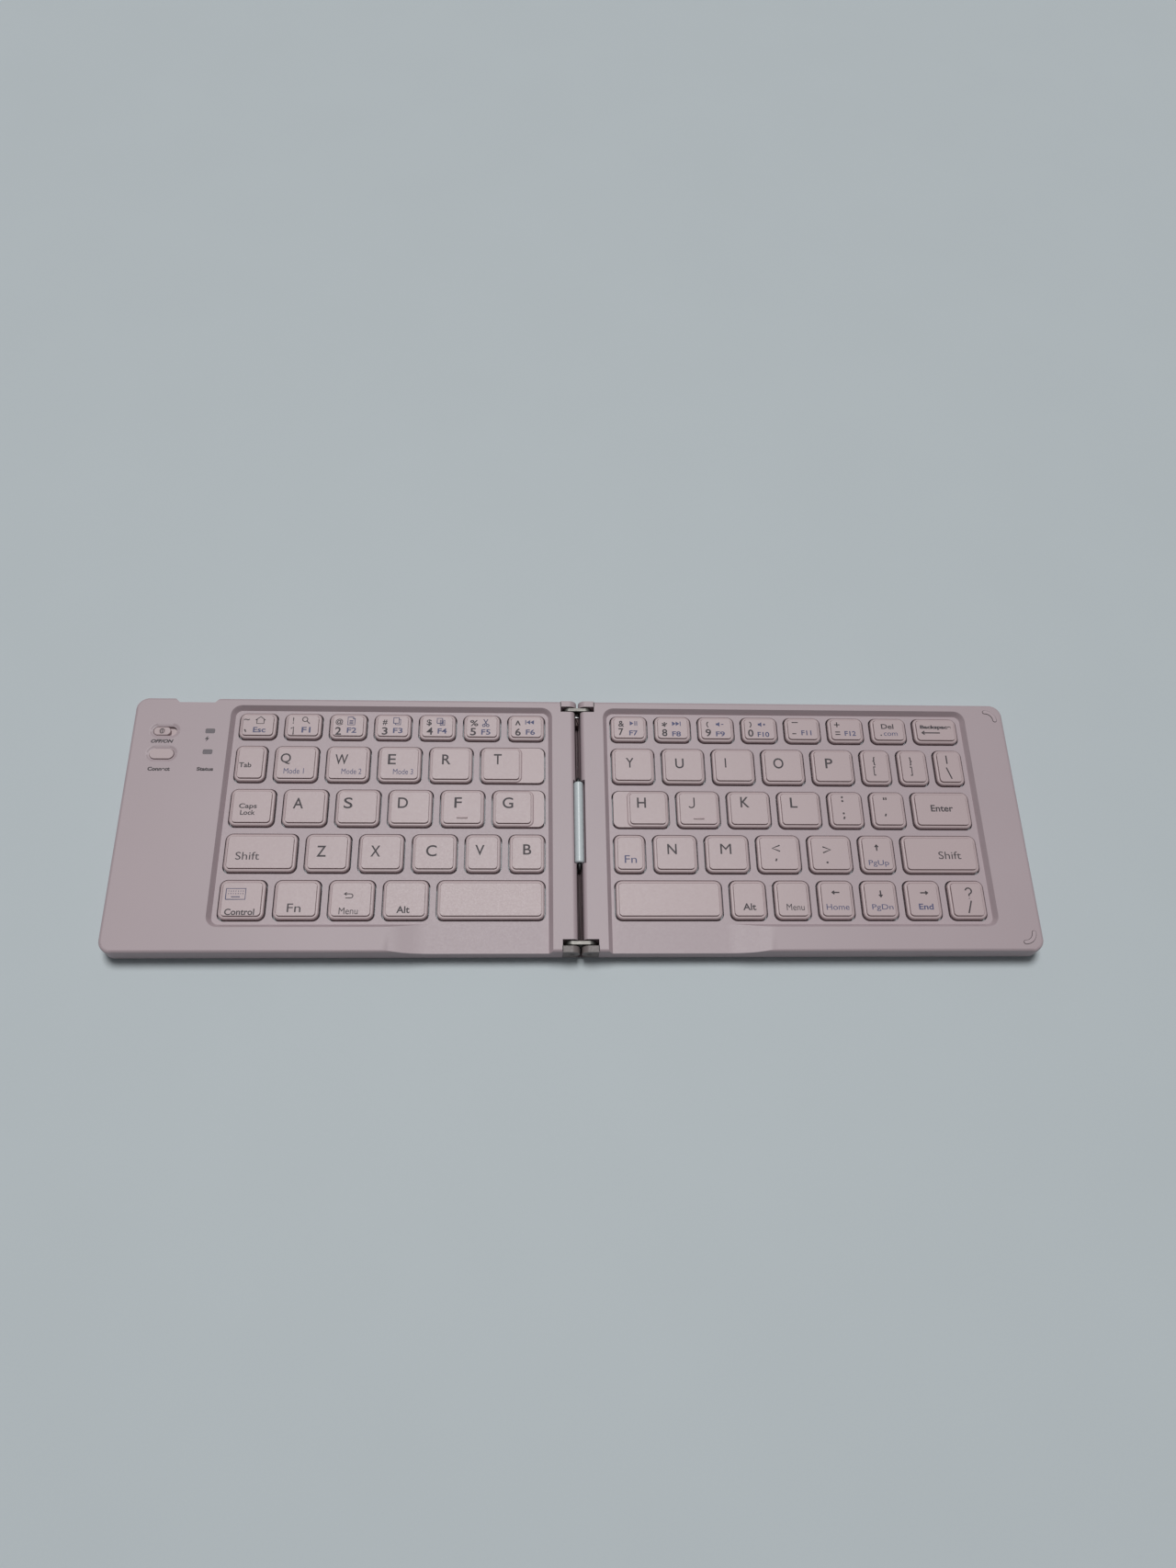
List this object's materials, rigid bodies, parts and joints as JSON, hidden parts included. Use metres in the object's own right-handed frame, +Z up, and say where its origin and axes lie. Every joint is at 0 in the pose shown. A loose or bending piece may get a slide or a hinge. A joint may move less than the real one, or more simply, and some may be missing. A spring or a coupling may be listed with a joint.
{
  "type": "folding keyboard",
  "caption": "Slim wireless keyboard in two halves that fold face to face on a double-pivot link hinge, with scissor keys, a power switch and a charge port.",
  "frame": {"origin": "on the table under the middle of the slit between the halves, at the middle of the bounding box's underside", "axes": "+X along the length to the right end, +Y to the back edge, +Z up"},
  "size_m": [0.28, 0.0844, 0.0072],
  "materials": {
    "case_plastic": "matte, slightly pearly",
    "key_plastic": "matte",
    "cover_plastic": "matte",
    "knuckle_plastic": "satin",
    "steel": "brushed",
    "rubber": "matte",
    "silicone": "satin",
    "scissor_plastic": "satin",
    "board": "solder mask",
    "battery_foil": "foil",
    "magnet": "nickel plated",
    "tube_plastic": "glossy",
    "wire": "matte",
    "light_plastic": "diffusing"
  },
  "bodies": {
    "left_half": {"left_top_case": "case_plastic", "left_bottom_cover": "cover_plastic", "left_key_plate": "steel", "left_dome_sheet": "silicone", "left_scissor_frames": "scissor_plastic", "left_hinge_brackets": "knuckle_plastic", "left_hinge_pins": "steel", "left_feet": "rubber", "left_magnets": "magnet", "main_board": "board", "battery": "battery_foil", "charge_port": "steel", "power_switch": "steel", "connect_tact_switch": "steel", "light_windows": "light_plastic", "cable_tube": "tube_plastic", "hinge_wires": "wire"},
    "links": {"hinge_links": "steel"},
    "right_half": {"right_top_case": "case_plastic", "right_bottom_cover": "cover_plastic", "right_key_plate": "steel", "right_dome_sheet": "silicone", "right_scissor_frames": "scissor_plastic", "right_hinge_brackets": "knuckle_plastic", "right_hinge_pins": "steel", "right_feet": "rubber", "right_magnets": "magnet", "right_corner_bumpers": "key_plastic"},
    "switch_knob": {"power_switch_knob": "key_plastic"},
    "connect_key": {"connect_button": "key_plastic"},
    "key_escape": {"key_escape": "key_plastic"},
    "keys_1_to_6": {"keys_1_to_6": "key_plastic"},
    "key_tab": {"key_tab": "key_plastic"},
    "keys_q_to_r": {"keys_q_to_r": "key_plastic"},
    "key_t": {"key_t": "key_plastic"},
    "key_caps_lock": {"key_caps_lock": "key_plastic"},
    "keys_a_to_f": {"keys_a_to_f": "key_plastic"},
    "key_g": {"key_g": "key_plastic"},
    "key_left_shift": {"key_left_shift": "key_plastic"},
    "keys_z_to_c": {"keys_z_to_c": "key_plastic"},
    "keys_v_b": {"keys_v_b": "key_plastic"},
    "keys_left_modifiers": {"keys_left_modifiers": "key_plastic"},
    "key_left_space": {"key_left_space": "key_plastic"},
    "keys_7_to_delete": {"keys_7_to_delete": "key_plastic"},
    "key_backspace": {"key_backspace": "key_plastic"},
    "keys_y_to_p": {"keys_y_to_p": "key_plastic"},
    "keys_brackets": {"keys_brackets": "key_plastic"},
    "key_h": {"key_h": "key_plastic"},
    "keys_j_to_l": {"keys_j_to_l": "key_plastic"},
    "keys_semicolon_quote": {"keys_semicolon_quote": "key_plastic"},
    "key_enter": {"key_enter": "key_plastic"},
    "key_right_function": {"key_right_function": "key_plastic"},
    "keys_n_to_stop": {"keys_n_to_stop": "key_plastic"},
    "key_up": {"key_up": "key_plastic"},
    "key_right_shift": {"key_right_shift": "key_plastic"},
    "key_right_space": {"key_right_space": "key_plastic"},
    "keys_right_modifiers": {"keys_right_modifiers": "key_plastic"},
    "keys_home_to_end": {"keys_home_to_end": "key_plastic"},
    "key_slash": {"key_slash": "key_plastic"}
  },
  "joints": [
    {"name": "fold", "type": "hinge", "parent": "left_half", "child": "links", "pos_m": [-0.0026, 0, 0.0046], "axis": [0, -1, 0], "range_deg": [0, 90], "deforming": ["hinge_wires"]},
    {"name": "fold_right", "type": "hinge", "parent": "links", "child": "right_half", "pos_m": [0.0026, 0, 0.0046], "axis": [0, -1, 0], "range_deg": [0, 90]},
    {"name": "power_slide", "type": "slide", "parent": "left_half", "child": "switch_knob", "axis": [1, 0, 0], "range_m": [0, 0.0018]},
    {"name": "connect_press", "type": "slide", "parent": "left_half", "child": "connect_key", "axis": [0, 0, -1], "range_m": [0, 0.00028], "stiffness_N_per_m": 500, "springref_m": -0.0008},
    {"name": "key_escape_press", "type": "slide", "parent": "left_half", "child": "key_escape", "axis": [0, 0, -1], "range_m": [0, 0.0012], "stiffness_N_per_m": 450, "springref_m": -0.0005, "deforming": ["left_dome_sheet", "left_scissor_frames"]},
    {"name": "keys_1_to_6_press", "type": "slide", "parent": "left_half", "child": "keys_1_to_6", "axis": [0, 0, -1], "range_m": [0, 0.0012], "stiffness_N_per_m": 450, "springref_m": -0.0005, "deforming": ["left_dome_sheet", "left_scissor_frames"]},
    {"name": "key_tab_press", "type": "slide", "parent": "left_half", "child": "key_tab", "axis": [0, 0, -1], "range_m": [0, 0.0012], "stiffness_N_per_m": 450, "springref_m": -0.0005, "deforming": ["left_dome_sheet", "left_scissor_frames"]},
    {"name": "keys_q_to_r_press", "type": "slide", "parent": "left_half", "child": "keys_q_to_r", "axis": [0, 0, -1], "range_m": [0, 0.0012], "stiffness_N_per_m": 450, "springref_m": -0.0005, "deforming": ["left_dome_sheet", "left_scissor_frames"]},
    {"name": "key_t_press", "type": "slide", "parent": "left_half", "child": "key_t", "axis": [0, 0, -1], "range_m": [0, 0.0012], "stiffness_N_per_m": 450, "springref_m": -0.0005, "deforming": ["left_dome_sheet", "left_scissor_frames"]},
    {"name": "key_caps_lock_press", "type": "slide", "parent": "left_half", "child": "key_caps_lock", "axis": [0, 0, -1], "range_m": [0, 0.0012], "stiffness_N_per_m": 450, "springref_m": -0.0005, "deforming": ["left_dome_sheet", "left_scissor_frames"]},
    {"name": "keys_a_to_f_press", "type": "slide", "parent": "left_half", "child": "keys_a_to_f", "axis": [0, 0, -1], "range_m": [0, 0.0012], "stiffness_N_per_m": 450, "springref_m": -0.0005, "deforming": ["left_dome_sheet", "left_scissor_frames"]},
    {"name": "key_g_press", "type": "slide", "parent": "left_half", "child": "key_g", "axis": [0, 0, -1], "range_m": [0, 0.0012], "stiffness_N_per_m": 450, "springref_m": -0.0005, "deforming": ["left_dome_sheet", "left_scissor_frames"]},
    {"name": "key_left_shift_press", "type": "slide", "parent": "left_half", "child": "key_left_shift", "axis": [0, 0, -1], "range_m": [0, 0.0012], "stiffness_N_per_m": 450, "springref_m": -0.0005, "deforming": ["left_dome_sheet", "left_scissor_frames"]},
    {"name": "keys_z_to_c_press", "type": "slide", "parent": "left_half", "child": "keys_z_to_c", "axis": [0, 0, -1], "range_m": [0, 0.0012], "stiffness_N_per_m": 450, "springref_m": -0.0005, "deforming": ["left_dome_sheet", "left_scissor_frames"]},
    {"name": "keys_v_b_press", "type": "slide", "parent": "left_half", "child": "keys_v_b", "axis": [0, 0, -1], "range_m": [0, 0.0012], "stiffness_N_per_m": 450, "springref_m": -0.0005, "deforming": ["left_dome_sheet", "left_scissor_frames"]},
    {"name": "keys_left_modifiers_press", "type": "slide", "parent": "left_half", "child": "keys_left_modifiers", "axis": [0, 0, -1], "range_m": [0, 0.0012], "stiffness_N_per_m": 450, "springref_m": -0.0005, "deforming": ["left_dome_sheet", "left_scissor_frames"]},
    {"name": "key_left_space_press", "type": "slide", "parent": "left_half", "child": "key_left_space", "axis": [0, 0, -1], "range_m": [0, 0.0012], "stiffness_N_per_m": 450, "springref_m": -0.0005, "deforming": ["left_dome_sheet", "left_scissor_frames"]},
    {"name": "keys_7_to_delete_press", "type": "slide", "parent": "right_half", "child": "keys_7_to_delete", "axis": [0, 0, -1], "range_m": [0, 0.0012], "stiffness_N_per_m": 450, "springref_m": -0.0005, "deforming": ["right_dome_sheet", "right_scissor_frames"]},
    {"name": "key_backspace_press", "type": "slide", "parent": "right_half", "child": "key_backspace", "axis": [0, 0, -1], "range_m": [0, 0.0012], "stiffness_N_per_m": 450, "springref_m": -0.0005, "deforming": ["right_dome_sheet", "right_scissor_frames"]},
    {"name": "keys_y_to_p_press", "type": "slide", "parent": "right_half", "child": "keys_y_to_p", "axis": [0, 0, -1], "range_m": [0, 0.0012], "stiffness_N_per_m": 450, "springref_m": -0.0005, "deforming": ["right_dome_sheet", "right_scissor_frames"]},
    {"name": "keys_brackets_press", "type": "slide", "parent": "right_half", "child": "keys_brackets", "axis": [0, 0, -1], "range_m": [0, 0.0012], "stiffness_N_per_m": 450, "springref_m": -0.0005, "deforming": ["right_dome_sheet", "right_scissor_frames"]},
    {"name": "key_h_press", "type": "slide", "parent": "right_half", "child": "key_h", "axis": [0, 0, -1], "range_m": [0, 0.0012], "stiffness_N_per_m": 450, "springref_m": -0.0005, "deforming": ["right_dome_sheet", "right_scissor_frames"]},
    {"name": "keys_j_to_l_press", "type": "slide", "parent": "right_half", "child": "keys_j_to_l", "axis": [0, 0, -1], "range_m": [0, 0.0012], "stiffness_N_per_m": 450, "springref_m": -0.0005, "deforming": ["right_dome_sheet", "right_scissor_frames"]},
    {"name": "keys_semicolon_quote_press", "type": "slide", "parent": "right_half", "child": "keys_semicolon_quote", "axis": [0, 0, -1], "range_m": [0, 0.0012], "stiffness_N_per_m": 450, "springref_m": -0.0005, "deforming": ["right_dome_sheet", "right_scissor_frames"]},
    {"name": "key_enter_press", "type": "slide", "parent": "right_half", "child": "key_enter", "axis": [0, 0, -1], "range_m": [0, 0.0012], "stiffness_N_per_m": 450, "springref_m": -0.0005, "deforming": ["right_dome_sheet", "right_scissor_frames"]},
    {"name": "key_right_function_press", "type": "slide", "parent": "right_half", "child": "key_right_function", "axis": [0, 0, -1], "range_m": [0, 0.0012], "stiffness_N_per_m": 450, "springref_m": -0.0005, "deforming": ["right_dome_sheet", "right_scissor_frames"]},
    {"name": "keys_n_to_stop_press", "type": "slide", "parent": "right_half", "child": "keys_n_to_stop", "axis": [0, 0, -1], "range_m": [0, 0.0012], "stiffness_N_per_m": 450, "springref_m": -0.0005, "deforming": ["right_dome_sheet", "right_scissor_frames"]},
    {"name": "key_up_press", "type": "slide", "parent": "right_half", "child": "key_up", "axis": [0, 0, -1], "range_m": [0, 0.0012], "stiffness_N_per_m": 450, "springref_m": -0.0005, "deforming": ["right_dome_sheet", "right_scissor_frames"]},
    {"name": "key_right_shift_press", "type": "slide", "parent": "right_half", "child": "key_right_shift", "axis": [0, 0, -1], "range_m": [0, 0.0012], "stiffness_N_per_m": 450, "springref_m": -0.0005, "deforming": ["right_dome_sheet", "right_scissor_frames"]},
    {"name": "key_right_space_press", "type": "slide", "parent": "right_half", "child": "key_right_space", "axis": [0, 0, -1], "range_m": [0, 0.0012], "stiffness_N_per_m": 450, "springref_m": -0.0005, "deforming": ["right_dome_sheet", "right_scissor_frames"]},
    {"name": "keys_right_modifiers_press", "type": "slide", "parent": "right_half", "child": "keys_right_modifiers", "axis": [0, 0, -1], "range_m": [0, 0.0012], "stiffness_N_per_m": 450, "springref_m": -0.0005, "deforming": ["right_dome_sheet", "right_scissor_frames"]},
    {"name": "keys_home_to_end_press", "type": "slide", "parent": "right_half", "child": "keys_home_to_end", "axis": [0, 0, -1], "range_m": [0, 0.0012], "stiffness_N_per_m": 450, "springref_m": -0.0005, "deforming": ["right_dome_sheet", "right_scissor_frames"]},
    {"name": "key_slash_press", "type": "slide", "parent": "right_half", "child": "key_slash", "axis": [0, 0, -1], "range_m": [0, 0.0012], "stiffness_N_per_m": 450, "springref_m": -0.0005, "deforming": ["right_dome_sheet", "right_scissor_frames"]}
  ],
  "couplings": [
    {"joint": "fold_right", "follows": "fold", "ratio": 1}
  ]
}
